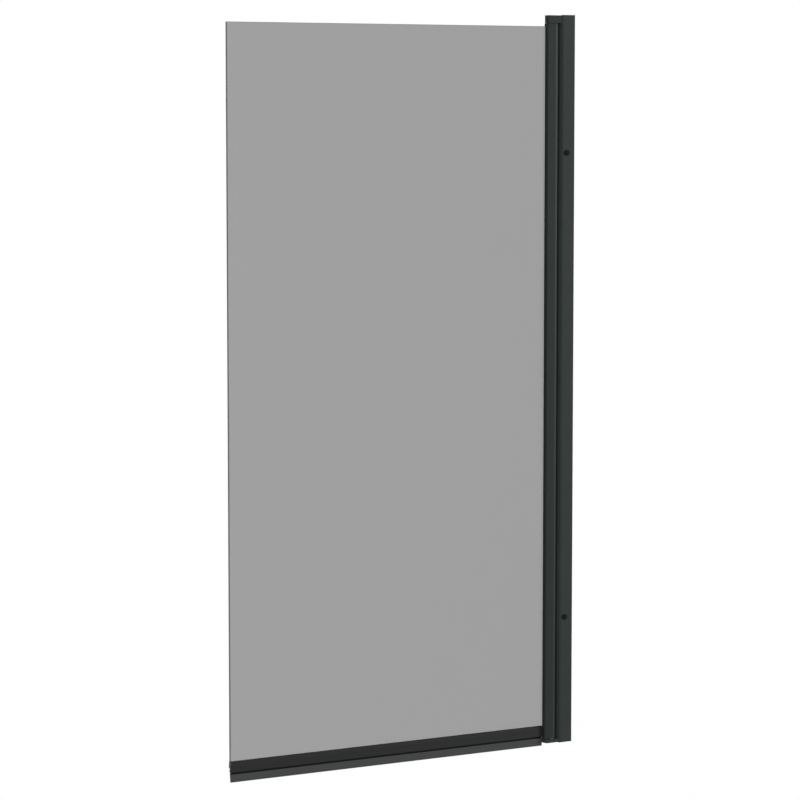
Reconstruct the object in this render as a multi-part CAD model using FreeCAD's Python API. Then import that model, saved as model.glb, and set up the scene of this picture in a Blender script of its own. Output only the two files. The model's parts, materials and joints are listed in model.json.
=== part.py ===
import FreeCAD, Part
import math
import os

# Bath screen: one glass leaf on a pivot profile, hung from a telescoping wall profile.
# Millimetres, +Z up. The wall is the plane X = 0, and the screen runs from it towards -X.
# The side with the clamp screws faces -Y. Z = 0 is the middle of the wall profile.

# Overall sizes, with heights measured up from the wall profile's foot
screen_width = 680.0
wall_profile_length = 1300.0
seal_top_height = 31.6
seal_foot_height = 12.8

# Clearances, and one overrun for all cuts
cut_overrun = 5.0
slide_gap = 0.2
seat_gap = 0.05
running_gap = 0.5
bearing_gap = 0.05
plug_gap = 0.2
screw_gap = 0.25

# Wall profile, a U channel with its web on the wall
wall_half_depth = 13.0
wall_reach = 27.5
wall_flange = 1.8
wall_web = 2.2
wall_tip_radius = 0.9
wall_edge_run = 3.5
wall_edge_drop = 0.7
wall_edge_radius = 12.0
wall_heel_radius = 0.8
fixing_hole_radius = 2.8
fixing_end_distance = 110.0
fixing_count = 4

# Clamp screws, with their square nuts and domed caps
clamp_from_wall = 16.0
clamp_low_height = 228.0
clamp_high_drop = 242.0
clamp_shank_radius = 2.0
clamp_head_radius = 3.2
clamp_head_height = 1.8
clamp_end = 1.0
nut_side = 7.0
nut_thickness = 3.2
cap_radius = 4.75
cap_height = 3.2
cap_rim = 2.0
cap_head_gap = 0.2

# Hinge post, the inner extrusion, open to the wall
post_wall = 1.5
post_nose = 2.0
post_chamber = 4.0
groove_throat_half = 1.6
groove_half = 3.0
groove_lip = 1.2
groove_depth = 2.0
groove_wall = 1.4
port_radius = 3.2
port_bed = 0.6
port_slit = 1.6

# Pivot blocks, the cast arms at both ends of the post
block_setback = 0.8
top_block_height = 13.4
bottom_block_height = 6.2
block_face_inset = 0.6
block_nose_gap = 0.3
block_end_inset = 1.0
block_sweep_gap = 0.4
block_edge_chamfer = 0.6
block_tip_radius = 4.0
block_peg_length = 20.0
block_core_wall = 1.6
block_core_roof = 2.4
bottom_pin_floor = 1.2

# Pivot pins, bushes, thrust washer and the screws that hold the blocks
pin_radius = 3.0
pin_tip_chamfer = 0.6
pin_head_radius = 4.5
pin_head_height = 2.5
pin_head_sink = 0.6
bush_wall = 1.0
bush_length = 18.0
bush_flange_radius = 5.2
bush_end_gap = 1.0
washer_radius = 7.0
washer_thickness = 1.0
block_screw_radius = 1.9
block_screw_head_radius = 3.6
block_screw_length = 22.0
block_screw_rim = 0.4

# Hinge seal in the post's nose
hinge_seal_stem_gap = 0.1
hinge_seal_face_gap = 0.25
hinge_seal_foot_gap = 9.0
hinge_seal_top_gap = 0.3

# Pivot profile, with its round back about the swing axis
pivot_back_radius = 10.0
pivot_wall = 1.5
pivot_front_lip = 18.0
pivot_rear_lip = 14.0
pivot_front_corner_radius = 2.6
pivot_rear_shoulder = 7.0
pivot_rear_shoulder_radius = 6.0
pivot_rear_corner_radius = 1.0
pivot_head_gap = 0.6
boss_wall = 1.5
pocket_floor = 1.5
pocket_floor_bed = 0.3
rib_thickness = 1.4
rib_angles = (-62.0, 0.0, 62.0)
bead_groove_from_floor = 4.2
bead_groove_width = 1.6
bead_groove_depth = 0.6
plug_plate = 1.6
plug_inset = 0.3
plug_peg_length = 8.0
plug_peg_count = 2

# Glass, its gaskets, packers and setting block
glass_thickness = 5.0
glass_arris = 0.4
glass_edge_gap = 1.0
glass_head_setback = 3.6
gasket_thickness = 2.0
gasket_mouth_setback = 0.3
packer_length = 60.0
packer_end_distance = 130.0
setting_block_setback = 0.5
setting_block_side_gap = 0.2

# Seal clip on the glass's lower edge, with the wiper lip's groove below it
clip_half_depth = 3.8
clip_wall = 1.0
clip_grip = 0.35
clip_grip_height = 2.4
clip_taper = 0.5
clip_taper_height = 6.0
clip_web = 1.4
clip_rear_foot = 6.8
clip_end_gap = 0.2
lip_centre_from_glass_middle = 0.6
lip_groove_half = 1.5
lip_groove_height = 2.2
lip_throat_half = 0.7
lip_jaw = 1.2
lip_fit_gap = 0.1
lip_drop = 17.3
lip_neck_drop = 3.0
lip_blade_front = 1.6
lip_blade_rear = 1.4
lip_blade_corner_radius = 0.4
lip_tip_thickness = 0.9
lip_tip_radius = 0.3

# Places worked out from the sizes above
foot_z = -wall_profile_length / 2
head_z = wall_profile_length / 2
axis_x = -(wall_reach + running_gap + pivot_back_radius)
nose_x = -wall_reach
post_rear_x = -(wall_web + slide_gap)
post_half = wall_half_depth - wall_flange - slide_gap
glass_half = glass_thickness / 2
pocket_half = glass_half + gasket_thickness
bush_radius = pin_radius + bearing_gap + bush_wall
bore_radius = bush_radius + seat_gap
boss_radius = bore_radius + boss_wall
pocket_floor_x = axis_x - boss_radius - pocket_floor + pocket_floor_bed
glass_edge_x = pocket_floor_x - glass_edge_gap
front_lip_x = axis_x - pivot_front_lip
rear_lip_x = axis_x - pivot_rear_lip
bottom_block_z = foot_z + block_setback
bottom_block_top_z = bottom_block_z + bottom_block_height
top_block_top_z = head_z - block_setback
top_block_z = top_block_top_z - top_block_height
bottom_plug_z = bottom_block_top_z + washer_thickness
profile_low_z = bottom_plug_z + plug_plate
top_plug_z = top_block_z - pivot_head_gap
profile_high_z = top_plug_z - plug_plate
seal_foot_z = foot_z + seal_foot_height
seal_top_z = foot_z + seal_top_height
clip_rear_foot_z = seal_foot_z + clip_rear_foot
glass_low_z = clip_rear_foot_z + clip_web
glass_high_z = profile_high_z - glass_head_setback
post_web_x = nose_x + post_nose + post_chamber
post_bay_x = post_web_x + post_wall
port_x = post_bay_x + port_radius - port_bed
clamp_heights = (foot_z + clamp_low_height, head_z - clamp_high_drop)

upright = FreeCAD.Vector(0, 0, 1)
# Turns a section drawn in X and Y so that it lies in Y and Z and is drawn out along X
along_x = FreeCAD.Rotation(FreeCAD.Vector(1, 1, 1), 120)
# Turns a piece drawn out along Z so that it points out of the photographed side, along -Y
towards_front = FreeCAD.Rotation(FreeCAD.Vector(1, 0, 0), 90)


def rounded_face(corners):
    """A flat face from corners (x, y, radius), each rounded by its own radius."""
    points = [FreeCAD.Vector(x, y, 0) for x, y, radius in corners]
    turns = []
    for index, (x, y, radius) in enumerate(corners):
        corner = points[index]
        if not radius:
            turns.append((corner, None, corner))
            continue
        back = points[index - 1].sub(corner)
        ahead = points[(index + 1) % len(points)].sub(corner)
        half = back.getAngle(ahead) / 2
        back.normalize()
        ahead.normalize()
        inwards = back.add(ahead)
        inwards.normalize()
        run = radius / math.tan(half)
        middle = corner.add(inwards.multiply(radius / math.sin(half) - radius))
        turns.append((corner.add(back.multiply(run)), middle, corner.add(ahead.multiply(run))))
    edges = []
    for index, (start, middle, end) in enumerate(turns):
        if middle:
            edges.append(Part.Arc(start, middle, end).toShape())
        following = turns[(index + 1) % len(turns)][0]
        if not end.isEqual(following, Part.Precision.confusion()):
            edges.append(Part.LineSegment(end, following).toShape())
    return Part.Face(Part.Wire(edges))


def box_face(x_low, x_high, y_low, y_high):
    """A plain rectangle in X and Y."""
    return rounded_face([(x_low, y_low, 0), (x_high, y_low, 0), (x_high, y_high, 0), (x_low, y_high, 0)])


def disc(x, y, radius):
    """A round face in X and Y."""
    return Part.Face(Part.Wire(Part.makeCircle(radius, FreeCAD.Vector(x, y, 0))))


def joined(first, *others):
    """One flat shape out of faces that touch or overlap."""
    return first.fuse(list(others)).removeSplitter()


def drawn_up(section, z_low, z_high):
    """A section in X and Y drawn out from one height to another."""
    solid = section.Faces[0].extrude(upright * (z_high - z_low))
    solid.translate(upright * z_low)
    return solid


def drawn_along(section, x_low, x_high):
    """A section whose X and Y are the part's Y and Z, drawn out along the part's X."""
    solid = section.Faces[0].extrude(upright * (x_high - x_low))
    solid.Placement = FreeCAD.Placement(FreeCAD.Vector(x_low, 0, 0), along_x)
    return solid


def turned(outline):
    """A solid turned about Z from an outline of (radius, height) points."""
    points = [FreeCAD.Vector(radius, 0, height) for radius, height in outline]
    face = Part.Face(Part.makePolygon(points + points[:1]))
    return face.revolve(FreeCAD.Vector(0, 0, 0), upright, 360)


def rod(x, y, radius, z_low, z_high):
    """A round upright rod."""
    return Part.makeCylinder(radius, z_high - z_low, FreeCAD.Vector(x, y, z_low))


def wall_profile():
    """The U channel on the wall, its flanges eased at the mouth, with fixing and clamp holes."""
    inner = wall_half_depth - wall_flange
    section = rounded_face([
        (0, -wall_half_depth, wall_heel_radius),
        (0, wall_half_depth, wall_heel_radius),
        (nose_x + wall_edge_run, wall_half_depth, wall_edge_radius),
        (nose_x, wall_half_depth - wall_edge_drop, wall_tip_radius),
        (nose_x, inner, 0),
        (-wall_web, inner, 0),
        (-wall_web, -inner, 0),
        (nose_x, -inner, 0),
        (nose_x, wall_edge_drop - wall_half_depth, wall_tip_radius),
        (nose_x + wall_edge_run, -wall_half_depth, wall_edge_radius),
    ])
    solid = drawn_up(section, foot_z, head_z)
    lowest = foot_z + fixing_end_distance
    pitch = (head_z - fixing_end_distance - lowest) / (fixing_count - 1)
    for index in range(fixing_count):
        start = FreeCAD.Vector(-wall_web - cut_overrun, 0, lowest + index * pitch)
        length = wall_web + cut_overrun + cut_overrun
        solid = solid.cut(Part.makeCylinder(fixing_hole_radius, length, start, FreeCAD.Vector(1, 0, 0)))
    for height in clamp_heights:
        start = FreeCAD.Vector(-clamp_from_wall, -inner + cut_overrun, height)
        length = wall_flange + cut_overrun + cut_overrun
        hole = Part.makeCylinder(clamp_shank_radius + screw_gap, length, start, FreeCAD.Vector(0, -1, 0))
        solid = solid.cut(hole)
    return solid


def at_clamps(piece):
    """Two copies of a piece drawn along Z, set on the photographed flange at the clamp screws."""
    copies = []
    for height in clamp_heights:
        copy = piece.copy()
        seat = FreeCAD.Vector(-clamp_from_wall, -wall_half_depth, height)
        copy.Placement = FreeCAD.Placement(seat, towards_front)
        copies.append(copy)
    return Part.makeCompound(copies)


def clamp_nut_depth():
    """How far behind the flange's face the nut's near side lies."""
    return wall_flange + slide_gap + post_wall + seat_gap


def clamp_screws():
    """Flat-headed screws whose heads rest on the flange and whose ends pass the nuts."""
    end = clamp_nut_depth() + nut_thickness + clamp_end
    return at_clamps(turned([
        (0, -end),
        (clamp_shank_radius, -end),
        (clamp_shank_radius, 0),
        (clamp_head_radius, 0),
        (clamp_head_radius, clamp_head_height),
        (0, clamp_head_height),
    ]))


def clamp_nuts():
    """Square nuts inside the post, behind its slotted wall."""
    depth = clamp_nut_depth()
    half = nut_side / 2
    nut = drawn_up(box_face(-half, half, -half, half), -depth - nut_thickness, -depth)
    return at_clamps(nut.cut(rod(0, 0, clamp_shank_radius + seat_gap, -depth - nut_thickness, -depth)))


def clamp_screw_caps():
    """Domed plastic caps over the screw heads, each hollow for its head."""
    rise = cap_height - cap_rim
    sphere_radius = (cap_radius ** 2 + rise ** 2) / (2 * rise)
    dome = Part.makeSphere(sphere_radius, FreeCAD.Vector(0, 0, cap_height - sphere_radius))
    cap = rod(0, 0, cap_radius, 0, cap_height).common(dome)
    hollow = rod(0, 0, clamp_head_radius + cap_head_gap, 0, clamp_head_height + cap_head_gap)
    return at_clamps(cap.cut(hollow))


def hinge_post():
    """The inner extrusion: nose with a seal groove, two chambers, a screw port and two long legs."""
    leg = post_half - post_wall
    groove_back = nose_x + groove_lip + groove_depth
    groove_outer = groove_half + groove_wall
    section = joined(
        box_face(nose_x, nose_x + post_nose, -post_half, post_half),
        box_face(post_web_x, post_bay_x, -post_half, post_half),
        box_face(nose_x, post_rear_x, -post_half, -leg),
        box_face(nose_x, post_rear_x, leg, post_half),
        box_face(nose_x, groove_back + groove_wall, -groove_outer, groove_outer),
        disc(port_x, 0, port_radius),
    )
    section = section.cut(box_face(nose_x + groove_lip, groove_back, -groove_half, groove_half))
    throat = box_face(nose_x - cut_overrun, groove_back, -groove_throat_half, groove_throat_half)
    section = section.cut(throat)
    section = section.cut(disc(port_x, 0, block_screw_radius + seat_gap))
    section = section.cut(box_face(port_x, port_x + port_radius + cut_overrun, -port_slit / 2, port_slit / 2))
    solid = drawn_up(section, bottom_block_top_z, top_block_z)
    # Slots open to the wall, so that the post slips over the loosened clamp screws
    slot_half = clamp_shank_radius + screw_gap
    for height in clamp_heights:
        slot = joined(
            disc(-clamp_from_wall, height, slot_half),
            box_face(-clamp_from_wall, post_rear_x + cut_overrun, height - slot_half, height + slot_half),
        ).Faces[0].extrude(upright * (post_wall + cut_overrun + cut_overrun))
        slot.Placement = FreeCAD.Placement(FreeCAD.Vector(0, -leg + cut_overrun, 0), towards_front)
        solid = solid.cut(slot)
    return solid


def pivot_outline():
    """The pivot profile's outer outline without its glass pocket."""
    mouth_y = pocket_half + pivot_wall
    return rounded_face([
        (front_lip_x, -pivot_back_radius, pivot_front_corner_radius),
        (axis_x + pivot_back_radius, -pivot_back_radius, pivot_back_radius),
        (axis_x + pivot_back_radius, pivot_back_radius, pivot_back_radius),
        (axis_x - pivot_rear_shoulder, pivot_back_radius, pivot_rear_shoulder_radius),
        (rear_lip_x, mouth_y, pivot_rear_corner_radius),
        (rear_lip_x, 0, 0),
        (front_lip_x, 0, 0),
    ])


def pivot_chambers():
    """The hollow chambers inside the pivot profile, as flat faces."""
    hollow = pivot_outline().makeOffset2D(-pivot_wall)
    pocket_outer = pocket_half + pivot_wall
    hollow = hollow.cut(box_face(front_lip_x, pocket_floor_x + pocket_floor, -pocket_outer, pocket_outer))
    hollow = hollow.cut(disc(axis_x, 0, boss_radius))
    for angle in rib_angles:
        rib = box_face(0, pivot_back_radius, -rib_thickness / 2, rib_thickness / 2)
        rib.rotate(FreeCAD.Vector(0, 0, 0), upright, angle)
        rib.translate(FreeCAD.Vector(axis_x, 0, 0))
        hollow = hollow.cut(rib)
    return hollow.Faces


def pivot_profile():
    """The leaf's extrusion: round back, ribbed bearing bore and a glass pocket with bead grooves."""
    section = pivot_outline()
    for chamber in pivot_chambers():
        section = section.cut(chamber)
    section = section.cut(disc(axis_x, 0, bore_radius))
    section = section.cut(box_face(front_lip_x - cut_overrun, pocket_floor_x, -pocket_half, pocket_half))
    bead_high = pocket_floor_x - bead_groove_from_floor
    bead_reach = pocket_half + bead_groove_depth
    section = section.cut(box_face(bead_high - bead_groove_width, bead_high, -bead_reach, bead_reach))
    return drawn_up(section, profile_low_z, profile_high_z)


def end_plug(outer_z, inner_z, peg_z):
    """A plug: a plate on the profile's end with pegs in its largest chambers and a hole for the bush."""
    plate = pivot_outline().makeOffset2D(-plug_inset)
    solid = drawn_up(plate, min(outer_z, inner_z), max(outer_z, inner_z))
    chambers = sorted(pivot_chambers(), key=lambda chamber: chamber.Area)
    for chamber in chambers[-plug_peg_count:]:
        peg = chamber.makeOffset2D(-plug_gap)
        solid = solid.fuse(drawn_up(peg, min(inner_z, peg_z), max(inner_z, peg_z)))
    hole = rod(axis_x, 0, bush_flange_radius + seat_gap, min(outer_z, inner_z), max(outer_z, inner_z))
    return solid.cut(hole).removeSplitter()


def pivot_bush(outer_z, inner_z, tip_z):
    """A flanged bush: the flange on the profile's end, the sleeve in its bore."""
    flange = rod(axis_x, 0, bush_flange_radius, min(outer_z, inner_z), max(outer_z, inner_z))
    sleeve = rod(axis_x, 0, bush_radius, min(inner_z, tip_z), max(inner_z, tip_z))
    bore = rod(axis_x, 0, pin_radius + bearing_gap, min(outer_z, tip_z), max(outer_z, tip_z))
    return flange.fuse(sleeve).cut(bore).removeSplitter()


def block_arm(beside_seal):
    """The arm's plan: it carries on the wall profile's faces; beside the seal it clears its swing."""
    arm_half = wall_half_depth - block_face_inset
    end_x = front_lip_x + block_end_inset
    shoulder_x = nose_x - block_nose_gap
    plan = rounded_face([
        (end_x, -arm_half, pivot_front_corner_radius),
        (shoulder_x, -arm_half, 0),
        (shoulder_x, arm_half, 0),
        (axis_x - pivot_rear_shoulder, arm_half, pivot_rear_shoulder_radius),
        (end_x, 0, block_tip_radius),
    ])
    if beside_seal:
        plan = plan.common(disc(axis_x, 0, pivot_front_lip - block_sweep_gap))
    return plan


def pivot_block(outer_z, post_z, way):
    """A cast arm on the post's end; way is 1 for the top block and -1 for the bottom one."""
    low, high = min(outer_z, post_z), max(outer_z, post_z)
    arm = drawn_up(block_arm(way < 0), low, high)
    body = drawn_up(box_face(nose_x - block_nose_gap, post_rear_x, -post_half, post_half), low, high)
    block = arm.fuse(body).removeSplitter()
    outer_edges = [edge for edge in block.Edges if abs(edge.CenterOfMass.z - outer_z) < seat_gap]
    block = block.makeChamfer(block_edge_chamfer, outer_edges)
    # Pegs in the post's two chambers
    for side in (-1, 1):
        near = groove_half + groove_wall + plug_gap
        far = post_half - post_wall - plug_gap
        peg = box_face(
            nose_x + post_nose + plug_gap,
            post_web_x - plug_gap,
            min(side * near, side * far),
            max(side * near, side * far),
        )
        tip = post_z - way * block_peg_length
        block = block.fuse(drawn_up(peg, min(post_z, tip), max(post_z, tip)))
    # The casting is cored from the post's side
    core_x = port_x + port_radius + block_core_wall
    core_half = post_half - block_core_wall
    core = box_face(core_x, post_rear_x - block_core_wall, -core_half, core_half)
    core_roof = outer_z - way * block_core_roof
    block = block.cut(drawn_up(core, min(post_z, core_roof), max(post_z, core_roof)))
    return block.cut(block_screw(outer_z, way, seat_gap)).removeSplitter()


def block_screw(outer_z, way, allowance):
    """A countersunk screw into the post's port, drawn with an allowance all round it."""
    radius = block_screw_radius + allowance
    head = block_screw_head_radius + allowance
    screw = turned([
        (0, -block_screw_length),
        (radius, -block_screw_length),
        (radius, radius - head - block_screw_rim),
        (head, -block_screw_rim),
        (head, 0),
        (0, 0),
    ])
    if way < 0:
        screw = screw.mirror(FreeCAD.Vector(0, 0, 0), upright)
    screw.translate(FreeCAD.Vector(port_x, 0, outer_z))
    return screw


def pivot_block_screws():
    """Both blocks' screws, as two separate solids."""
    return Part.makeCompound([block_screw(top_block_top_z, 1, 0), block_screw(bottom_block_z, -1, 0)])


def top_pivot_block():
    """The upper arm, with a counterbored hole that takes the pin from above."""
    block = pivot_block(top_block_top_z, top_block_z, 1)
    head_low = top_block_top_z - pin_head_sink - pin_head_height
    block = block.cut(rod(axis_x, 0, pin_head_radius + seat_gap, head_low, top_block_top_z + cut_overrun))
    return block.cut(rod(axis_x, 0, pin_radius + seat_gap, top_block_z - cut_overrun, head_low))


def bottom_pivot_block():
    """The lower arm, with a blind hole for its pin."""
    block = pivot_block(bottom_block_z, bottom_block_top_z, -1)
    floor = bottom_block_z + bottom_pin_floor
    return block.cut(rod(axis_x, 0, pin_radius + seat_gap, floor, bottom_block_top_z + cut_overrun))


def top_pivot_pin():
    """A headed pin, let in from above, that ends inside the upper bush."""
    head_high = top_block_top_z - pin_head_sink
    head_low = head_high - pin_head_height
    tip = profile_high_z - bush_length + bush_end_gap
    pin = turned([
        (0, tip),
        (pin_radius - pin_tip_chamfer, tip),
        (pin_radius, tip + pin_tip_chamfer),
        (pin_radius, head_low),
        (pin_head_radius, head_low),
        (pin_head_radius, head_high - pin_tip_chamfer),
        (pin_head_radius - pin_tip_chamfer, head_high),
        (0, head_high),
    ])
    pin.translate(FreeCAD.Vector(axis_x, 0, 0))
    return pin


def bottom_pivot_pin():
    """A plain pin standing in the lower block."""
    floor = bottom_block_z + bottom_pin_floor
    tip = profile_low_z + bush_length - bush_end_gap
    pin = turned([
        (0, floor),
        (pin_radius, floor),
        (pin_radius, tip - pin_tip_chamfer),
        (pin_radius - pin_tip_chamfer, tip),
        (0, tip),
    ])
    pin.translate(FreeCAD.Vector(axis_x, 0, 0))
    return pin


def thrust_washer():
    """The washer between the lower block and the lower bush."""
    ring = rod(axis_x, 0, washer_radius, bottom_block_top_z, bottom_plug_z)
    return ring.cut(rod(axis_x, 0, pin_radius + bearing_gap, bottom_block_top_z, bottom_plug_z))


def hinge_seal():
    """The upright strip in the post's nose, hollowed to follow the leaf's round back."""
    stem = groove_throat_half - hinge_seal_stem_gap
    root = groove_half - hinge_seal_stem_gap
    root_near = nose_x + groove_lip + hinge_seal_stem_gap
    root_far = nose_x + groove_lip + groove_depth - hinge_seal_stem_gap
    section = joined(
        box_face(nose_x - running_gap, root_far, -stem, stem),
        box_face(root_near, root_far, -root, root),
    )
    section = section.cut(disc(axis_x, 0, pivot_back_radius + hinge_seal_face_gap))
    return drawn_up(section, bottom_block_top_z + hinge_seal_foot_gap, top_block_z - hinge_seal_top_gap)


def glass_panel():
    """The toughened glass, with ground arrises all round."""
    width = screen_width + glass_edge_x
    corner = FreeCAD.Vector(-screen_width, -glass_half, glass_low_z)
    panel = Part.makeBox(width, glass_thickness, glass_high_z - glass_low_z, corner)
    return panel.makeChamfer(glass_arris, panel.Edges)


def glazing_gasket(lip_x, side):
    """A strip between the glass and one wall of the pocket, with a bead in the wall's groove."""
    near = side * (glass_half + seat_gap)
    far = side * (pocket_half - seat_gap)
    bead = side * (pocket_half + bead_groove_depth - seat_gap)
    bead_high = pocket_floor_x - bead_groove_from_floor - seat_gap
    bead_low = bead_high - bead_groove_width + seat_gap + seat_gap
    mouth = lip_x + gasket_mouth_setback
    section = rounded_face([
        (mouth, near, 0),
        (glass_edge_x, near, 0),
        (glass_edge_x, far, 0),
        (bead_high, far, 0),
        (bead_high, bead, 0),
        (bead_low, far, 0),
        (mouth, far, gasket_mouth_setback),
    ])
    return drawn_up(section, glass_low_z, glass_high_z)


def glass_setting_block():
    """The block under the glass inside the pocket, standing on the lower plug."""
    half = pocket_half - setting_block_side_gap
    plan = box_face(rear_lip_x + setting_block_setback, pocket_floor_x - setting_block_side_gap, -half, half)
    return drawn_up(plan, profile_low_z, glass_low_z)


def glass_edge_packers():
    """Three pads between the glass's edge and the pocket's floor."""
    plan = box_face(glass_edge_x, pocket_floor_x, -glass_half, glass_half)
    lowest = foot_z + packer_end_distance
    highest = head_z - packer_end_distance
    pads = []
    for centre in (lowest, (lowest + highest) / 2, highest):
        pads.append(drawn_up(plan, centre - packer_length / 2, centre + packer_length / 2))
    return Part.makeCompound(pads)


def seal_clip():
    """The rigid strip: a long front skirt, a short rear leg, a hollow chamber and the lip's groove."""
    inner = clip_half_depth - clip_wall
    grip = glass_half + seat_gap
    grip_low = seal_top_z - clip_grip_height
    taper_low = seal_top_z - clip_taper_height
    lip_y = -lip_centre_from_glass_middle
    jaw_rear = lip_y + lip_groove_half + clip_wall
    jaw_roof = seal_foot_z + lip_jaw + lip_groove_height
    jaw_top = jaw_roof + lip_jaw
    outline = rounded_face([
        (-clip_half_depth, seal_foot_z, 0),
        (jaw_rear, seal_foot_z, 0),
        (jaw_rear, jaw_top, clip_wall),
        (lip_y + lip_throat_half, jaw_top, 0),
        (lip_y + lip_throat_half, clip_rear_foot_z, 0),
        (clip_half_depth, clip_rear_foot_z, clip_wall),
        (clip_half_depth, taper_low, 0),
        (clip_half_depth - clip_taper, seal_top_z, 0),
        (grip, seal_top_z, 0),
        (grip, seal_top_z - clip_grip, 0),
        (inner, grip_low, 0),
        (inner, glass_low_z, 0),
        (-inner, glass_low_z, 0),
        (-inner, grip_low, 0),
        (-grip, seal_top_z - clip_grip, 0),
        (-grip, seal_top_z, 0),
        (-clip_half_depth + clip_taper, seal_top_z, 0),
        (-clip_half_depth, taper_low, 0),
    ])
    chamber = box_face(-inner, lip_y - lip_throat_half, jaw_top, clip_rear_foot_z)
    groove = box_face(lip_y - lip_groove_half, lip_y + lip_groove_half, seal_foot_z + lip_jaw, jaw_roof)
    throat = box_face(lip_y - lip_throat_half, lip_y + lip_throat_half, seal_foot_z - cut_overrun, jaw_roof)
    section = outline.cut(chamber).cut(groove).cut(throat)
    return drawn_along(section, -screen_width, front_lip_x - clip_end_gap)


def wiper_lip():
    """The soft lip: a root in the clip's groove, an open neck and a blade with an upright front."""
    lip_y = -lip_centre_from_glass_middle
    root = lip_groove_half - lip_fit_gap
    neck = lip_throat_half - lip_fit_gap
    root_low = seal_foot_z + lip_jaw + lip_fit_gap
    root_high = seal_foot_z + lip_jaw + lip_groove_height - lip_fit_gap
    blade_high = seal_foot_z - lip_neck_drop
    front_y = lip_y - lip_blade_front
    tip = seal_foot_z - lip_drop
    section = rounded_face([
        (lip_y + root, root_high, 0),
        (lip_y - root, root_high, 0),
        (lip_y - root, root_low, 0),
        (lip_y - neck, root_low, 0),
        (lip_y - neck, blade_high, 0),
        (front_y, blade_high, lip_blade_corner_radius),
        (front_y, tip, lip_tip_radius),
        (front_y + lip_tip_thickness, tip, lip_tip_radius),
        (lip_y + lip_blade_rear, blade_high, lip_blade_corner_radius),
        (lip_y + neck, blade_high, 0),
        (lip_y + neck, root_low, 0),
        (lip_y + root, root_low, 0),
    ])
    return drawn_along(section, -screen_width, front_lip_x - clip_end_gap)


def main():
    """Build every piece and write it to its own file."""
    pieces = {
        "wall_profile": wall_profile(),
        "clamp_screws": clamp_screws(),
        "clamp_nuts": clamp_nuts(),
        "clamp_screw_caps": clamp_screw_caps(),
        "hinge_post": hinge_post(),
        "top_pivot_block": top_pivot_block(),
        "bottom_pivot_block": bottom_pivot_block(),
        "top_pivot_pin": top_pivot_pin(),
        "bottom_pivot_pin": bottom_pivot_pin(),
        "pivot_block_screws": pivot_block_screws(),
        "thrust_washer": thrust_washer(),
        "hinge_seal": hinge_seal(),
        "pivot_profile": pivot_profile(),
        "top_end_plug": end_plug(top_plug_z, profile_high_z, profile_high_z - plug_peg_length),
        "bottom_end_plug": end_plug(bottom_plug_z, profile_low_z, profile_low_z + plug_peg_length),
        "top_pivot_bush": pivot_bush(top_plug_z, profile_high_z, profile_high_z - bush_length),
        "bottom_pivot_bush": pivot_bush(bottom_plug_z, profile_low_z, profile_low_z + bush_length),
        "glass_panel": glass_panel(),
        "glazing_gasket_front": glazing_gasket(front_lip_x, -1),
        "glazing_gasket_rear": glazing_gasket(rear_lip_x, 1),
        "glass_setting_block": glass_setting_block(),
        "glass_edge_packers": glass_edge_packers(),
        "seal_clip": seal_clip(),
        "wiper_lip": wiper_lip(),
    }
    os.makedirs("parts", exist_ok=True)
    for name, shape in pieces.items():
        box = shape.BoundBox
        print(name, "solids", len(shape.Solids), "valid", shape.isValid(), "volume", round(shape.Volume, 1),
              "x", round(box.XMin, 2), round(box.XMax, 2), "y", round(box.YMin, 2), round(box.YMax, 2),
              "z", round(box.ZMin, 2), round(box.ZMax, 2))
        shape.exportStep(os.path.join("parts", name + ".step"))


main()
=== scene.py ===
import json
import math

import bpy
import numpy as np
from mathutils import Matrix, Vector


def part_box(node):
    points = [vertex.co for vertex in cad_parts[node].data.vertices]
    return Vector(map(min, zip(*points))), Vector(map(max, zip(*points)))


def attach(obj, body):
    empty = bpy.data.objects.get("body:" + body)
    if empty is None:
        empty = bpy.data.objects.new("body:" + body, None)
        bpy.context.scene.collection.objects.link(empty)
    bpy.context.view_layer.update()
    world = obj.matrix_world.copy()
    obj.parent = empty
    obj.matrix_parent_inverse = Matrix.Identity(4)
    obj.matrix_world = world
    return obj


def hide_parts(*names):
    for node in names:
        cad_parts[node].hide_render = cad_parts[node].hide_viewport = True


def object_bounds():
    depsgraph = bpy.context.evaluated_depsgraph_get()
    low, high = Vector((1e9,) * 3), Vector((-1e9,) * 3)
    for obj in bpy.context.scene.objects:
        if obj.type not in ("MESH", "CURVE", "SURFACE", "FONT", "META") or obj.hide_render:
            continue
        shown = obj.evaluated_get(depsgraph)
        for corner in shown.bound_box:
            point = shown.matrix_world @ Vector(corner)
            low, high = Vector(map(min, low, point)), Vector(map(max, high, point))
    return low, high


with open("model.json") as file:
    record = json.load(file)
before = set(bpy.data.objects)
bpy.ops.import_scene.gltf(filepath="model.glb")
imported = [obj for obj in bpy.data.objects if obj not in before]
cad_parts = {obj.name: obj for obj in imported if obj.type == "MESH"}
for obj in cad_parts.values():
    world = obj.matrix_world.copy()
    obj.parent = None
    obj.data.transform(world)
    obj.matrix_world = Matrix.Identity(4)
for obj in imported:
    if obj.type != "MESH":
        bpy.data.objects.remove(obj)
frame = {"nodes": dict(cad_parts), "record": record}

# %% [markdown]
# # A swinging bath screen
# This lesson dresses a finished construction model. The screen hangs on a wall by a black aluminium
# profile, and a grey glass leaf swings on an upright pivot. A wiper seal closes the gap to the bath.
# Nearly all of its pieces already have their true shape, so the lesson is mostly about finishes, light and
# the camera. We first note the size of the model, because nothing added later may outgrow it.

MILLIMETRE = 0.001
cad_low, cad_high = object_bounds()
cad_nodes = frame["nodes"]
print("pieces:", len(cad_nodes), "box:", [round(v / MILLIMETRE, 1) for v in cad_high - cad_low], "mm")

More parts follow.
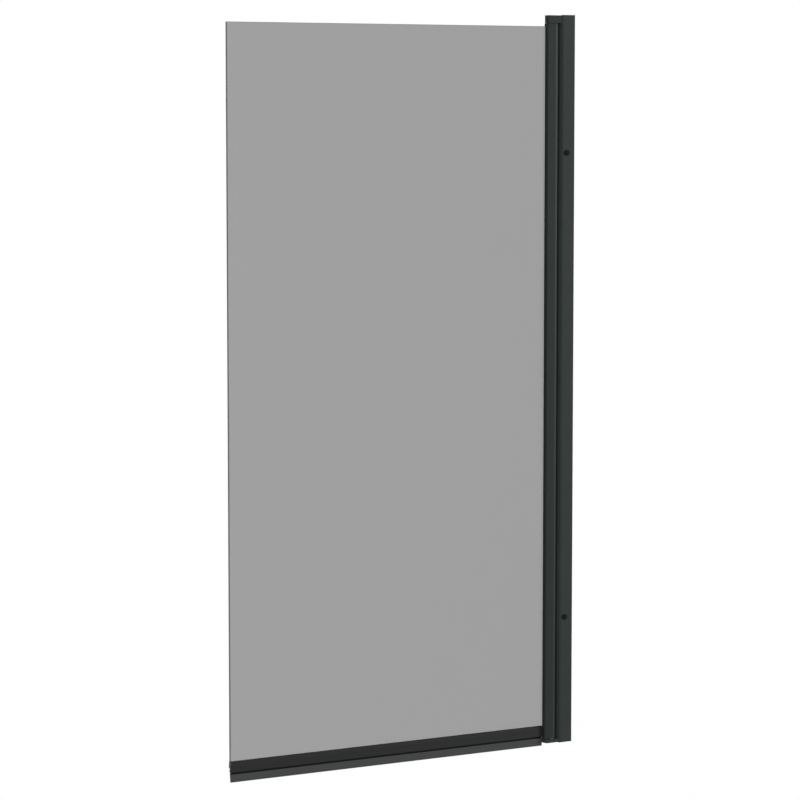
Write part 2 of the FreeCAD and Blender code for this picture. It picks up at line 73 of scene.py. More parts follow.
# %% [markdown]
# ## The camera
# The photograph was taken with a long lens, from the left and from well above the middle of the glass.
# Its upright edges stay upright. A lens shift could copy that exactly, but a shift stays when the camera
# walks round the object, and would push it out of the frame. A small downward tilt with a long lens keeps
# the edges upright to within about two pixels, so we choose the tilt.

# %% Camera
SENSOR = 36.0
FOCAL_PIXELS = 3087.2
FRAME_PIXELS = 800
CAMERA_PLACE = (-2.9726, -4.6345, 0.4884)
CAMERA_TURN = math.radians(-29.524)
CAMERA_TILT = math.radians(5.419)
CAMERA_REACH = 200.0


def make_camera():
    """A camera that looks level along +Y, then is tilted down, then turned about Z."""
    lens = bpy.data.cameras.new("camera")
    lens.sensor_width = SENSOR
    lens.lens = FOCAL_PIXELS * SENSOR / FRAME_PIXELS
    lens.clip_end = CAMERA_REACH
    camera = bpy.data.objects.new("camera", lens)
    camera.location = CAMERA_PLACE
    camera.rotation_euler = (math.pi / 2 - CAMERA_TILT, 0.0, CAMERA_TURN)
    bpy.context.scene.collection.objects.link(camera)
    bpy.context.scene.camera = camera
    return camera


camera = make_camera()
print("lens:", round(camera.data.lens, 2), "mm")

# %% [markdown]
# ## Node helpers
# A material is a small network of nodes. It could be wired by hand in the shader editor, but a script can
# be read again and changed. A few helpers keep the later cells short: one adds a node and sets its values,
# one joins an output to an input, one reckons with numbers and joined values alike, and one opens a group
# with named sockets.


# %% Node helpers
def add_node(tree, kind, values=None, **settings):
    """Adds one node, sets its properties from settings and its unlinked sockets from values."""
    node = tree.nodes.new(kind)
    for name, value in settings.items():
        setattr(node, name, value)
    for name, value in (values or {}).items():
        node.inputs[name].default_value = value
    return node


def join(tree, source, target):
    """Joins (node, output) to (node, input)."""
    tree.links.new(source[0].outputs[source[1]], target[0].inputs[target[1]])


def reckon(tree, operation, *terms, **settings):
    """A Math node; a term is a number, or a (node, output) to join. Returns (node, output)."""
    node = add_node(tree, "ShaderNodeMath", operation=operation, **settings)
    for index, term in enumerate(terms):
        if isinstance(term, tuple):
            join(tree, term, (node, index))
        else:
            node.inputs[index].default_value = term
    return node, "Value"


def new_group(name, inputs, outputs):
    """An empty shader group with named sockets; an input is (name, type, default)."""
    group = bpy.data.node_groups.new(name, "ShaderNodeTree")
    for title, kind, default in inputs:
        socket = group.interface.new_socket(title, in_out="INPUT", socket_type=kind)
        socket.default_value = default
    for title, kind in outputs:
        group.interface.new_socket(title, in_out="OUTPUT", socket_type=kind)
    return group, group.nodes.new("NodeGroupInput"), group.nodes.new("NodeGroupOutput")


print("helpers:", [helper.__name__ for helper in (add_node, join, reckon, new_group)])

# %% [markdown]
# ## A fine grain for every finish
# Powder coat has a faint orange peel, moulded plastic a fine spark texture, rubber a dull bloom. All three
# are the same idea at different scales: a soft cloud and a fine grain that change colour, gloss and height
# a little. So it is one shader group, placed in each material with its own numbers. The Stretch input
# draws the grain out along a strip, as an extrusion die does, or round a pin, as turning does. The group
# reads Object coordinates, so the grain keeps its real size on every piece.

# %% Fine grain group
FLOAT = "NodeSocketFloat"
COLOUR = "NodeSocketColor"
VECTOR = "NodeSocketVector"
CLOUD_NOISE = {"Detail": 5.0, "Roughness": 0.6}
GRAIN_NOISE = {"Detail": 2.0, "Roughness": 0.5}
# Each noise averages one half, so their sum averages one.
MEAN_OF_SUM = 1.0
FULL_SHADE = 1.0


def scaled_noise(tree, place, scale, values):
    """A noise read at a place, with its scale joined from a socket; both are (node, output)."""
    noise = add_node(tree, "ShaderNodeTexNoise", values)
    join(tree, place, (noise, "Vector"))
    join(tree, scale, (noise, "Scale"))
    return noise, "Fac"


def make_grain_group():
    """Shade is 1 + Contrast * (cloud + grain - 1) and scales the colour; roughness moves with it.

    Height is the grain alone.
    """
    group, given, result = new_group(
        "fine_grain",
        [
            ("Colour", COLOUR, (0.03, 0.03, 0.03, 1.0)),
            ("Contrast", FLOAT, 0.3),
            ("Cloud scale", FLOAT, 40.0),
            ("Roughness", FLOAT, 0.5),
            ("Roughness spread", FLOAT, 0.1),
            ("Grain scale", FLOAT, 1500.0),
            ("Stretch", VECTOR, (1.0, 1.0, 1.0)),
        ],
        [("Colour", COLOUR), ("Roughness", FLOAT), ("Height", FLOAT)],
    )
    place = add_node(group, "ShaderNodeTexCoord")
    stretched = add_node(group, "ShaderNodeVectorMath", operation="MULTIPLY")
    join(group, (place, "Object"), (stretched, 0))
    join(group, (given, "Stretch"), (stretched, 1))
    cloud = scaled_noise(group, (stretched, "Vector"), (given, "Cloud scale"), CLOUD_NOISE)
    grain = scaled_noise(group, (stretched, "Vector"), (given, "Grain scale"), GRAIN_NOISE)
    both = reckon(group, "ADD", cloud, grain)
    centred = reckon(group, "SUBTRACT", both, MEAN_OF_SUM)
    shade = reckon(group, "MULTIPLY_ADD", centred, (given, "Contrast"), FULL_SHADE)
    tinted = add_node(group, "ShaderNodeVectorMath", operation="SCALE")
    join(group, (given, "Colour"), (tinted, "Vector"))
    join(group, shade, (tinted, "Scale"))
    spread = (given, "Roughness spread")
    gloss = reckon(group, "MULTIPLY_ADD", centred, spread, (given, "Roughness"), use_clamp=True)
    join(group, (tinted, "Vector"), (result, "Colour"))
    join(group, gloss, (result, "Roughness"))
    join(group, grain, (result, "Height"))
    return group


grain_group = make_grain_group()
print("group:", grain_group.name, "with", len(grain_group.nodes), "nodes")

# %% [markdown]
# ## Finishes made from the grain
# Each finish is one Principled shader. What changes over the surface comes from the group; what is the
# same everywhere, such as the specular level, is set on the shader itself, so that it survives an export.


# %% A finish from the grain group
def new_material(name):
    """An empty node material, with its tree and its output node."""
    material = bpy.data.materials.new(name)
    material.use_nodes = True
    tree = material.node_tree
    tree.nodes.clear()
    return material, tree, add_node(tree, "ShaderNodeOutputMaterial")


def make_finish(name, grain, bump, shader_values):
    """A Principled material whose colour, roughness and bump come from the fine grain group."""
    material, tree, output = new_material(name)
    shader = add_node(tree, "ShaderNodeBsdfPrincipled", shader_values)
    texture = add_node(tree, "ShaderNodeGroup", node_tree=grain_group)
    for socket, value in grain.items():
        texture.inputs[socket].default_value = value
    relief = add_node(tree, "ShaderNodeBump", bump)
    join(tree, (texture, "Height"), (relief, "Height"))
    join(tree, (texture, "Colour"), (shader, "Base Color"))
    join(tree, (texture, "Roughness"), (shader, "Roughness"))
    join(tree, (relief, "Normal"), (shader, "Normal"))
    join(tree, (shader, "BSDF"), (output, "Surface"))
    return material


grain_sockets = [item.name for item in grain_group.interface.items_tree if item.in_out == "INPUT"]
print("a finish may set:", grain_sockets)

# %% [markdown]
# ### Powder coat
# The profiles are aluminium with a matte, slightly green black coat. A mirror-like paint would show the
# studio; this one scatters, so its gloss is weak and its grain fine. It still catches a low lamp on the
# leaf's round back, as a thin lighter band. The leaf's profile photographs a little darker than the wall
# profile, and the cast arms are a little coarser and duller. The post stands deep in its shaded groove, so
# its coat is painted the palest: painted light that keeps it grey there. Each has its own numbers.

# %% Powder coat
ORANGE_PEEL = {"Strength": 0.7, "Distance": 0.08 * MILLIMETRE}
COAT_CLOUD_SCALE = 25.0
COAT_ROUGHNESS = 0.46
COAT_ROUGHNESS_SPREAD = 0.12


def make_powder_coat(name, colour, contrast=0.3, grain_scale=1500.0, gloss=0.10):
    """Matte coat: a soft cloud of shade, a fine grain of gloss and a faint orange peel."""
    grain = {
        "Colour": colour,
        "Contrast": contrast,
        "Cloud scale": COAT_CLOUD_SCALE,
        "Roughness": COAT_ROUGHNESS,
        "Roughness spread": COAT_ROUGHNESS_SPREAD,
        "Grain scale": grain_scale,
    }
    return make_finish(name, grain, ORANGE_PEEL, {"Specular IOR Level": gloss})


wall_coat = make_powder_coat("wall_profile_coat", (0.0188, 0.0236, 0.0224, 1.0))
leaf_coat = make_powder_coat("leaf_profile_coat", (0.0131, 0.0177, 0.0162, 1.0))
arm_coat = make_powder_coat(
    "cast_arm_coat", (0.0325, 0.0375, 0.0360, 1.0), contrast=0.4, grain_scale=1100.0, gloss=0.0
)
# Paler than the other coats: painted light that lifts the post out of its groove's shade.
post_coat_painted_light = make_powder_coat("post_coat_painted_light", (0.050, 0.058, 0.055, 1.0))
print("coats:", wall_coat.name, leaf_coat.name, arm_coat.name, post_coat_painted_light.name)

# %% [markdown]
# ### Satin steel
# The pins, screws and nuts are satin steel. A bare metallic colour would look like chrome, and a picture
# of brushed steel would need unwrapping. Instead the grain is drawn out across the upright axis, so that
# it lies in fine rings round a pin, as turning on a lathe leaves them.

# %% Satin steel
FINE_RELIEF = {"Strength": 0.2, "Distance": 0.03 * MILLIMETRE}
ROUND_A_PIN = (0.08, 0.08, 1.0)
satin_steel = make_finish(
    "satin_steel",
    {
        "Colour": (0.40, 0.40, 0.39, 1.0),
        "Contrast": 0.25,
        "Cloud scale": 120.0,
        "Roughness": 0.32,
        "Roughness spread": 0.2,
        "Grain scale": 2500.0,
        "Stretch": ROUND_A_PIN,
    },
    FINE_RELIEF,
    {"Metallic": 1.0},
)
print("metal:", satin_steel.name)

# %% [markdown]
# ### Mouldings
# The caps are black mouldings, the end plugs are moulded in the coat's own tone, and the bushes, the
# washer and the glass's packers are white bearing plastic. They could share one material and differ in
# colour alone, but a cap is duller than a plug, and bearing plastic is shinier than both. So each has its
# own gloss and grain.

# %% Mouldings
black_moulding = make_finish(
    "black_moulding",
    {
        "Colour": (0.0080, 0.0105, 0.0098, 1.0),
        "Contrast": 0.3,
        "Cloud scale": 80.0,
        "Roughness": 0.75,
        "Roughness spread": 0.15,
        "Grain scale": 2200.0,
    },
    FINE_RELIEF,
    {"Specular IOR Level": 0.03},
)
plug_moulding = make_finish(
    "plug_moulding",
    {
        "Colour": (0.0150, 0.0190, 0.0175, 1.0),
        "Contrast": 0.25,
        "Cloud scale": 60.0,
        "Roughness": 0.55,
        "Roughness spread": 0.12,
        "Grain scale": 1900.0,
    },
    FINE_RELIEF,
    {"Specular IOR Level": 0.12},
)
white_bearing = make_finish(
    "white_bearing_plastic",
    {
        "Colour": (0.62, 0.62, 0.60, 1.0),
        "Contrast": 0.08,
        "Cloud scale": 90.0,
        "Roughness": 0.45,
        "Roughness spread": 0.1,
        "Grain scale": 1800.0,
    },
    FINE_RELIEF,
    {"Specular IOR Level": 0.4},
)
print("plastics:", black_moulding.name, plug_moulding.name, white_bearing.name)

# %% [markdown]
# ### Rubber
# The gaskets and the hinge seal are rubber strips pressed through a die. They stand upright, so their
# grain is drawn out along Z. Rubber is dull, so its roughness is high and its gloss weak.

# %% Rubber
ALONG_A_STRIP = (1.0, 1.0, 0.03)
black_rubber = make_finish(
    "black_rubber_strip",
    {
        "Colour": (0.014, 0.014, 0.014, 1.0),
        "Contrast": 0.4,
        "Cloud scale": 70.0,
        "Roughness": 0.7,
        "Roughness spread": 0.15,
        "Grain scale": 1400.0,
        "Stretch": ALONG_A_STRIP,
    },
    FINE_RELIEF,
    {"Specular IOR Level": 0.15},
)
print("rubber:", black_rubber.name)

# %% [markdown]
# ### The seal
# The clip is rigid black plastic, the lip below it is softer and greyer. Both are drawn out along the
# glass, so fine die lines run along X. A stretched grain gives them: long along X, short across.

# %% Seal
ALONG_THE_GLASS = (0.015, 1.0, 1.0)
seal_clip_finish = make_finish(
    "seal_clip_plastic",
    {
        "Colour": (0.0128, 0.0138, 0.0132, 1.0),
        "Contrast": 0.35,
        "Cloud scale": 90.0,
        "Roughness": 0.5,
        "Roughness spread": 0.12,
        "Grain scale": 900.0,
        "Stretch": ALONG_THE_GLASS,
    },
    FINE_RELIEF,
    {"Specular IOR Level": 0.1},
)
seal_lip_finish = make_finish(
    "seal_lip_plastic",
    {
        "Colour": (0.0445, 0.0470, 0.0455, 1.0),
        "Contrast": 0.25,
        "Cloud scale": 60.0,
        "Roughness": 0.55,
        "Roughness spread": 0.12,
        "Grain scale": 700.0,
        "Stretch": ALONG_THE_GLASS,
    },
    FINE_RELIEF,
    {"Specular IOR Level": 0.05},
)
print("seal:", seal_clip_finish.name, seal_lip_finish.name)

# %% [markdown]
# The lip is drawn from two plastics at once, a firm black neck and a soft grey blade. Two materials on one
# piece would need its faces sorted, so the colour changes with height instead. The neck is made nearly
# black, darker than the clip, so it also paints the shade of the slot under the clip: the dark line between
# the clip and the lip is partly the black neck and partly painted shade.

# %% Black neck of the lip, also painted slot shade
NECK_HEIGHT = 3.7 * MILLIMETRE
NECK_BLEND = 0.1 * MILLIMETRE
# Near black, darker than the clip: the neck's colour, and painted shade for the slot under the clip.
NECK_AND_SLOT_SHADE_COLOUR = (0.004, 0.004, 0.004, 1.0)


def object_axes(tree):
    """Object coordinates as one node, and as a node that gives X, Y and Z apart."""
    place = add_node(tree, "ShaderNodeTexCoord")
    axes = add_node(tree, "ShaderNodeSeparateXYZ")
    join(tree, (place, "Object"), (axes, "Vector"))
    return place, axes


def blacken_neck_with_slot_shade(material):
    """Mixes in the near-black neck, also painted slot shade, above the soft blade, a neck's height below
    the clip.
    """
    tree = material.node_tree
    blade_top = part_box("seal_clip")[0].z - NECK_HEIGHT
    axes = object_axes(tree)[1]
    above = add_node(tree, "ShaderNodeMapRange", {1: blade_top - NECK_BLEND, 2: blade_top + NECK_BLEND})
    join(tree, (axes, "Z"), (above, "Value"))
    shader = next(node for node in tree.nodes if node.type == "BSDF_PRINCIPLED")
    blade_colour = shader.inputs["Base Color"].links[0].from_socket
    mixed = add_node(tree, "ShaderNodeMixRGB", {"Color2": NECK_AND_SLOT_SHADE_COLOUR})
    join(tree, (above, "Result"), (mixed, "Fac"))
    tree.links.new(blade_colour, mixed.inputs["Color1"])
    join(tree, (mixed, "Color"), (shader, "Base Color"))
    return blade_top


blade_top = blacken_neck_with_slot_shade(seal_lip_finish)
print("blade starts at z", round(blade_top / MILLIMETRE, 2), "mm")

# %% [markdown]
# ## Grey glass
# The leaf is toughened glass, coloured through its whole body. A colour on the surface would tint every
# crossing alike, but real tinted glass darkens with the length of the way through it, which is why its
# edges look nearly black. So the colour is an absorbing volume. The ground edges are dull: a mask near the
# edges makes them rough and tints them darker, and that tint is painted shade on the edges. The faces are
# smooth apart from a trace of wiping.

# %% Ground edges and wiped faces
GLASS_EDGE_WIDTH = 0.6 * MILLIMETRE
GROUND_ROUGHNESS = 0.3
WIPED_NOISE = {"Scale": 9.0, "Detail": 4.0}
WIPED_ROUGHNESS = 0.012
glass_low, glass_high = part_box("glass_panel")
print("glass:", [round(v / MILLIMETRE, 1) for v in glass_high - glass_low], "mm")


def ground_mask(tree, axes):
    """1 within an edge's width of the glass's free upright edge and of its top edge, 0 elsewhere."""
    free_edge = reckon(tree, "LESS_THAN", (axes, "X"), glass_low.x + GLASS_EDGE_WIDTH)
    top_edge = reckon(tree, "GREATER_THAN", (axes, "Z"), glass_high.z - GLASS_EDGE_WIDTH)
    return reckon(tree, "MAXIMUM", free_edge, top_edge)


def glass_roughness(tree, place, ground):
    """The mask times the ground edge's roughness, plus a faint noise where a cloth has wiped."""
    wiped = add_node(tree, "ShaderNodeTexNoise", WIPED_NOISE)
    join(tree, (place, "Object"), (wiped, "Vector"))
    smear = reckon(tree, "MULTIPLY", (wiped, "Fac"), WIPED_ROUGHNESS)
    return reckon(tree, "MULTIPLY_ADD", ground, GROUND_ROUGHNESS, smear)


# %% [markdown]
# A ray tracer would cast the shadow of a solid board behind such a pane, because it looks for lamps along
# straight rays, and glass bends them. So the material asks what kind of ray has come: a shadow ray meets a
# clear film instead, and lamps shine through.

# %% Glass
GLASS_IOR = 1.5
GLASS_ABSORPTION = 209.0
# Darker tint for the ground edges: painted shade, not the glass's own colour.
GROUND_EDGE_SHADE = (0.28, 0.29, 0.28, 1.0)
LAMPS_PASS = (0.95, 0.95, 0.95, 1.0)
WHITE = (1.0, 1.0, 1.0, 1.0)
BLACK = (0.0, 0.0, 0.0, 1.0)


def mix_shaders(tree, share, first, second):
    """Gives the first shader at share 0 and the second at 1; each of the three is (node, output)."""
    mixed = add_node(tree, "ShaderNodeMixShader")
    for index, source in enumerate((share, first, second)):
        join(tree, source, (mixed, index))
    return mixed, "Shader"


def make_glass():
    """A clear dielectric round a grey absorbing volume; roughness rises from faces to ground edges, where a
    darker tint paints shade.
    """
    material, tree, output = new_material("leaf_glass")
    shader = add_node(tree, "ShaderNodeBsdfPrincipled", {
        "Metallic": 0.0,
        "IOR": GLASS_IOR,
        "Transmission Weight": 1.0,
    })
    place, axes = object_axes(tree)
    ground = ground_mask(tree, axes)
    join(tree, glass_roughness(tree, place, ground), (shader, "Roughness"))
    # The ground edges' darker tint is painted shade.
    tone = add_node(tree, "ShaderNodeMixRGB", {"Color1": WHITE, "Color2": GROUND_EDGE_SHADE})
    join(tree, ground, (tone, "Fac"))
    join(tree, (tone, "Color"), (shader, "Base Color"))
    light_path = add_node(tree, "ShaderNodeLightPath")
    film = add_node(tree, "ShaderNodeBsdfTransparent", {"Color": LAMPS_PASS})
    surface = mix_shaders(tree, (light_path, "Is Shadow Ray"), (shader, "BSDF"), (film, "BSDF"))
    join(tree, surface, (output, "Surface"))
    body = add_node(tree, "ShaderNodeVolumeAbsorption", {"Color": BLACK, "Density": GLASS_ABSORPTION})
    join(tree, (body, "Volume"), (output, "Volume"))
    return material


leaf_glass = make_glass()
passed = math.exp(-GLASS_ABSORPTION * (glass_high.y - glass_low.y))
print("glass:", leaf_glass.name, "lets through", round(passed, 2), "of the light")

# %% [markdown]
# ## Dressing the pieces
# The record says which material slot each piece has. One could dress the pieces one by one, but a finish
# for each slot keeps like pieces alike. Only the leaf's profile, its two end plugs and the post have tones
# of their own.

# %% Dress every piece
slot_finish = {
    "powder_coated_aluminium": wall_coat,
    "cast_arm": arm_coat,
    "stainless_steel": satin_steel,
    "black_plastic": black_moulding,
    "acetal": white_bearing,
    "black_rubber": black_rubber,
    "grey_glass": leaf_glass,
    "black_pvc": seal_clip_finish,
    "soft_pvc": seal_lip_finish,
}
own_finish = {
    "pivot_profile": leaf_coat,
    "hinge_post": post_coat_painted_light,
    "top_end_plug": plug_moulding,
    "bottom_end_plug": plug_moulding,
}


def dress(piece, material):
    """Puts one material on a whole piece."""
    piece.data.materials.clear()
    piece.data.materials.append(material)


subparts = frame["record"]["subparts"]
for subpart in subparts:
    finish = slot_finish[subpart["material_slot"]]
    dress(cad_nodes[subpart["node"]], own_finish.get(subpart["node"], finish))
print("dressed:", len(subparts), "pieces, of these", len(own_finish), "in their own tone")

# %% [markdown]
# ## The arm screws
# One countersunk screw holds each cast arm on the post. The construction model keeps it plain, so here it
# gets what a hand would feel: a hexagon socket and a thread. They could be cut with boolean tools, which
# leave ragged faces. But a screw is a surface of turning, so a profile of radius and height is carried
# round the axis. Two small changes to the radius do the rest: in the socket it follows a hexagon instead
# of a circle, and on the shank it swells where the thread's ridge passes.

# %% Screw profile
SOCKET_RADIUS = 1.45 * MILLIMETRE
SOCKET_DEPTH = 1.7 * MILLIMETRE
THREAD_PITCH = 0.8 * MILLIMETRE
THREAD_DEPTH = 0.38 * MILLIMETRE
SHANK_RADIUS = 1.9 * MILLIMETRE
HEAD_RIM = 0.4 * MILLIMETRE
SCREW_EDGE = 0.15 * MILLIMETRE
SCREW_LENGTH = 22.0 * MILLIMETRE
# Shares of the radius: a ring in the socket's floor, and the last ring at the tip.
SOCKET_FLOOR_SHARE = 0.5
TIP_SHARE = 0.6
# How much of the hexagon is left in the ring just outside the socket.
HEXAGON_LEFT = 0.3
THREAD_STEPS = 150

screw_low, screw_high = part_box("pivot_block_screws")
head_radius = (screw_high.x - screw_low.x) / 2
screw_x = (screw_high.x + screw_low.x) / 2
cone_foot = HEAD_RIM + head_radius - SHANK_RADIUS
print("screw head radius:", round(head_radius / MILLIMETRE, 2), "mm at x", round(screw_x, 4))


def screw_rings():
    """Radius, depth below the head's face, hexagon share and thread share of every ring, tip last."""
    core = SHANK_RADIUS - THREAD_DEPTH
    head = np.array([
        [SOCKET_RADIUS * SOCKET_FLOOR_SHARE, SOCKET_DEPTH, 1.0, 0.0],
        [SOCKET_RADIUS, SOCKET_DEPTH, 1.0, 0.0],
        [SOCKET_RADIUS, SCREW_EDGE, 1.0, 0.0],
        [SOCKET_RADIUS + SCREW_EDGE, 0.0, 1.0, 0.0],
        [SOCKET_RADIUS + 2 * SCREW_EDGE, 0.0, HEXAGON_LEFT, 0.0],
        [head_radius - SCREW_EDGE, 0.0, 0.0, 0.0],
        [head_radius, SCREW_EDGE, 0.0, 0.0],
        [head_radius, HEAD_RIM, 0.0, 0.0],
        [SHANK_RADIUS, cone_foot, 0.0, 0.0],
    ])
    depth = np.linspace(cone_foot + THREAD_PITCH, SCREW_LENGTH - THREAD_PITCH, THREAD_STEPS)
    none, full = np.zeros_like(depth), np.ones_like(depth)
    thread = np.stack([core * full, depth, none, full], axis=1)
    tip = np.array([
        [core, SCREW_LENGTH - THREAD_PITCH / 2, 0.0, 0.0],
        [core * TIP_SHARE, SCREW_LENGTH, 0.0, 0.0],
    ])
    return np.concatenate([head, thread, tip])


# %% [markdown]
# The grid has a ring for each row of the profile and a column for each step of the turn. Whole arrays hold
# radius, depth and angle, so no loop runs over the points. A pole closes each end.

# %% Screw surface
TURN_STEPS = 48
HEXAGON_SIDE = math.pi / 3


def screw_surface():
    """Points and faces of one screw, head up, with the middle of its face at the origin.

    The radius is the ring's radius times the hexagon's reach, plus the thread's ridge. The hexagon's reach
    is cos(30) / cos(angle within its side), and the ridge is a triangle wave of depth / pitch plus turn.
    """
    radius, depth, hexagon, thread = screw_rings().T[:, :, None]
    turn = np.arange(TURN_STEPS)[None, :] / TURN_STEPS
    angle = turn * 2 * math.pi
    side = np.mod(angle, HEXAGON_SIDE) - HEXAGON_SIDE / 2
    reach = 1.0 + hexagon * (math.cos(HEXAGON_SIDE / 2) / np.cos(side) - 1.0)
    ridge = 1.0 - 2.0 * np.abs(np.mod(depth / THREAD_PITCH + turn, 1.0) - 0.5)
    grid_radius = radius * reach + thread * THREAD_DEPTH * ridge
    height = -depth + np.zeros_like(angle)
    grid = np.stack([grid_radius * np.cos(angle), grid_radius * np.sin(angle), height], axis=2)
    poles = np.array([[0.0, 0.0, -SOCKET_DEPTH], [0.0, 0.0, -SCREW_LENGTH]])
    points = np.concatenate([grid.reshape(-1, 3), poles])
    ring = np.arange(len(grid) - 1)[:, None] * TURN_STEPS
    here = np.arange(TURN_STEPS)[None, :]
    after = np.mod(here + 1, TURN_STEPS)
    below = ring + TURN_STEPS
    quads = np.stack([ring + here, below + here, below + after, ring + after], axis=2)
    last = (len(grid) - 1) * TURN_STEPS
    floor_pole = np.full(TURN_STEPS, len(points) - 2)
    tip_pole = np.full(TURN_STEPS, len(points) - 1)
    floor_fan = np.stack([floor_pole, here[0], after[0]], axis=1)
    tip_fan = np.stack([last + after[0], last + here[0], tip_pole], axis=1)
    return points, quads.reshape(-1, 4), np.concatenate([floor_fan, tip_fan])


screw_points, screw_quads, screw_fans = screw_surface()
print("one screw:", len(screw_points), "points,", len(screw_quads) + len(screw_fans), "faces")

# %% [markdown]
# The upper screw stands head up in the upper arm. Turned half round the X axis, the same points give the
# lower one, and a half turn keeps the faces pointing outwards, which a mirror would not.


# %% Arm screws
def make_arm_screws(points, quads, fans):
    """Both screws in one mesh: the lower one is the upper one turned half round the X axis."""
    upper = points + [screw_x, 0.0, screw_high.z]
    lower = points * [1.0, -1.0, -1.0] + [screw_x, 0.0, screw_low.z]
    faces = quads.tolist() + fans.tolist() + (quads + len(points)).tolist() + (fans + len(points)).tolist()
    mesh = bpy.data.meshes.new("arm_screws")
    mesh.from_pydata(np.concatenate([upper, lower]).tolist(), [], faces)
    mesh.validate()
    screws = bpy.data.objects.new("arm_screws", mesh)
    bpy.context.scene.collection.objects.link(screws)
    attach(screws, "hinge_post_slide")
    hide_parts("pivot_block_screws")
    dress(screws, satin_steel)
    return screws


arm_screws = make_arm_screws(screw_points, screw_quads, screw_fans)
print("arm screws:", len(arm_screws.data.polygons), "faces")

# %% [markdown]
# ## Floor
# The screen hangs above a bath, so the floor lies well below it. It is a large pale plane that stays white
# to the camera, in reflections and through the glass, and keeps a soft shadow: half of what one sees is its
# own light, the rest is the light that falls on it. As a lamp it counts only for the light it sends back.
# Far out it fades away in a fine speckle, so that no edge of it can be seen against the white behind it.

# %% Floor paint
FLOOR_TONE = (0.5, 0.5, 0.5, 1.0)
FLOOR_GLOW = 0.4855
FLOOR_FADE_START = 6.0
FLOOR_FADE_END = 38.0


def seen_rays(tree):
    """A value that is 1 for camera, glossy and transmission rays; returns (node, output)."""
    light_path = add_node(tree, "ShaderNodeLightPath")
    first = reckon(tree, "MAXIMUM", (light_path, "Is Camera Ray"), (light_path, "Is Glossy Ray"))
    return reckon(tree, "MAXIMUM", first, (light_path, "Is Transmission Ray"))


def far_speckle(tree):
    """1 at a point whose random value is below the fade, which rises from 0 near to 1 far out."""
    place = add_node(tree, "ShaderNodeTexCoord")
    distance = add_node(tree, "ShaderNodeVectorMath", operation="LENGTH")
    join(tree, (place, "Object"), (distance, 0))
    reach = {1: FLOOR_FADE_START, 2: FLOOR_FADE_END}
    fade = add_node(tree, "ShaderNodeMapRange", reach, interpolation_type="SMOOTHSTEP")
    join(tree, (distance, "Value"), (fade, "Value"))
    speckle = add_node(tree, "ShaderNodeTexWhiteNoise", noise_dimensions="3D")
    join(tree, (place, "Object"), (speckle, "Vector"))
    return reckon(tree, "GREATER_THAN", (fade, "Result"), (speckle, "Value"))


def make_floor_paint():
    """A grey that the lamps light, with a glow of its own for seen rays, gone where the speckle says."""
    material, tree, output = new_material("pale_floor")
    lit = add_node(tree, "ShaderNodeBsdfDiffuse", {"Color": FLOOR_TONE})
    own = add_node(tree, "ShaderNodeEmission", {"Color": WHITE, "Strength": FLOOR_GLOW})
    both = add_node(tree, "ShaderNodeAddShader")
    join(tree, (lit, "BSDF"), (both, 0))
    join(tree, (own, "Emission"), (both, 1))
    shown = mix_shaders(tree, seen_rays(tree), (lit, "BSDF"), (both, "Shader"))
    nothing = add_node(tree, "ShaderNodeBsdfTransparent")
    faded = mix_shaders(tree, far_speckle(tree), shown, (nothing, "BSDF"))
    join(tree, faded, (output, "Surface"))
    return material


floor_paint = make_floor_paint()
print("floor paint:", floor_paint.name, "fades from", FLOOR_FADE_START, "to", FLOOR_FADE_END, "m")

# %% [markdown]
# The plane itself is one square.

# %% Floor
FLOOR_DROP = 0.56
FLOOR_HALF = 40.0


def make_floor():
    """A square plane at a fixed drop below the object."""
    mesh = bpy.data.meshes.new("floor")
    level = cad_low.z - FLOOR_DROP
    corners = np.array([[-1, -1], [1, -1], [1, 1], [-1, 1]]) * FLOOR_HALF
    mesh.from_pydata([(x, y, level) for x, y in corners], [], [(0, 1, 2, 3)])
    floor = bpy.data.objects.new("floor", mesh)
    bpy.context.scene.collection.objects.link(floor)
    dress(floor, floor_paint)
    return floor


floor = make_floor()
print("floor at z", round(floor.data.vertices[0].co.z, 3), "m")

# %% [markdown]
# ## World
# A photographer would hang white paper all round. The world plays the paper: white where the camera, a
# reflection or the glass looks at it, and dimmer as a light, so that the lamps still model the shapes.

# %% World
PAPER = 1.0
AMBIENT = 0.3


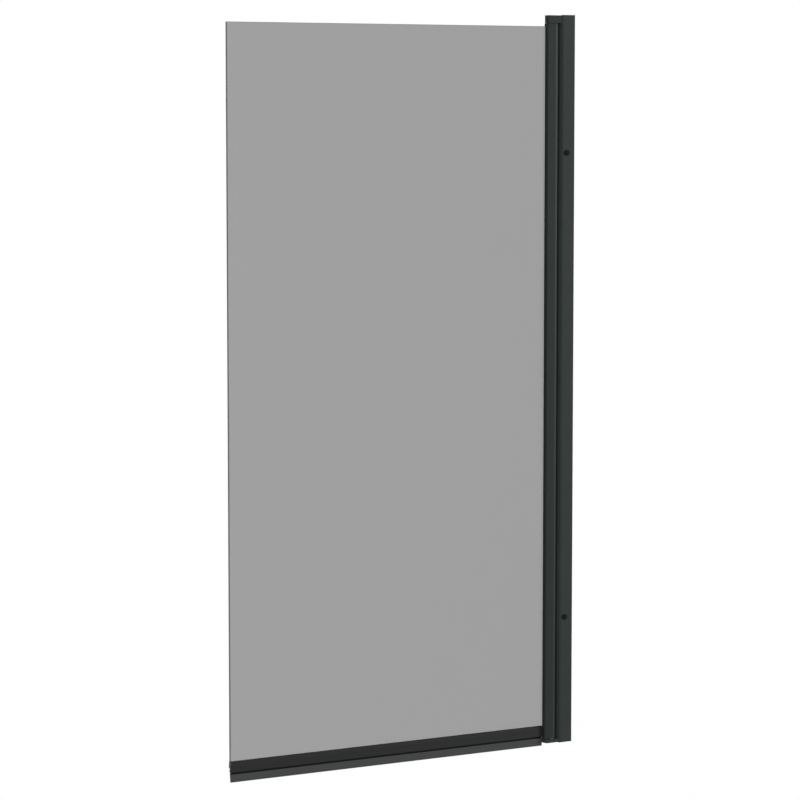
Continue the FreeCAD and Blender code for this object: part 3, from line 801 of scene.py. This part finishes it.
def make_world():
    """White for camera, glossy and transmission rays; a dim grey for every other ray."""
    world = bpy.data.worlds.new("studio")
    bpy.context.scene.world = world
    world.use_nodes = True
    tree = world.node_tree
    tree.nodes.clear()
    output = add_node(tree, "ShaderNodeOutputWorld")
    paper = add_node(tree, "ShaderNodeBackground", {"Color": WHITE, "Strength": PAPER})
    ambient = add_node(tree, "ShaderNodeBackground", {"Color": WHITE, "Strength": AMBIENT})
    sky = mix_shaders(tree, seen_rays(tree), (ambient, "Background"), (paper, "Background"))
    join(tree, sky, (output, "Surface"))
    return world


make_world()
print("world ambient:", AMBIENT)

# %% [markdown]
# ## Lamps
# Lamps close by would light the head of such a tall piece more than its foot, so each is a far lamp whose
# light comes evenly from one side. The key stands low and well to the right, where the leaf's round back
# catches it. A broad lamp fills from the left, a narrower one beside the camera opens the groove between
# the leaf and the wall profile, one overhead lights the floor and one behind shows the back. Only the key
# shows in reflections and none through the glass, because the white paper already fills both.


# %% Lamps
def make_lamp(name, azimuth, elevation, strength, spread, mirrored=False):
    """A far lamp at an azimuth from the front, right positive, and an elevation, in degrees."""
    light = bpy.data.lights.new(name, "SUN")
    light.energy = strength
    light.angle = math.radians(spread)
    across, up = math.radians(azimuth), math.radians(elevation)
    place = Vector((math.sin(across) * math.cos(up), -math.cos(across) * math.cos(up), math.sin(up)))
    lamp = bpy.data.objects.new(name, light)
    lamp.rotation_euler = place.to_track_quat("Z", "Y").to_euler()
    lamp.visible_glossy = mirrored
    lamp.visible_transmission = False
    bpy.context.scene.collection.objects.link(lamp)
    return lamp


make_lamp("key", azimuth=57.0, elevation=6.0, strength=2.35, spread=12.0, mirrored=True)
make_lamp("left_fill", azimuth=-65.0, elevation=10.0, strength=0.9, spread=60.0)
make_lamp("groove_fill", azimuth=-32.0, elevation=6.0, strength=0.7, spread=20.0)
make_lamp("overhead", azimuth=0.0, elevation=75.0, strength=1.2, spread=60.0)
make_lamp("back_fill", azimuth=180.0, elevation=20.0, strength=1.8, spread=60.0)

# %% [markdown]
# ## Colours as written
# The Standard view shows a colour as it was written, with no film curve.

# %% View
bpy.context.scene.view_settings.view_transform = "Standard"
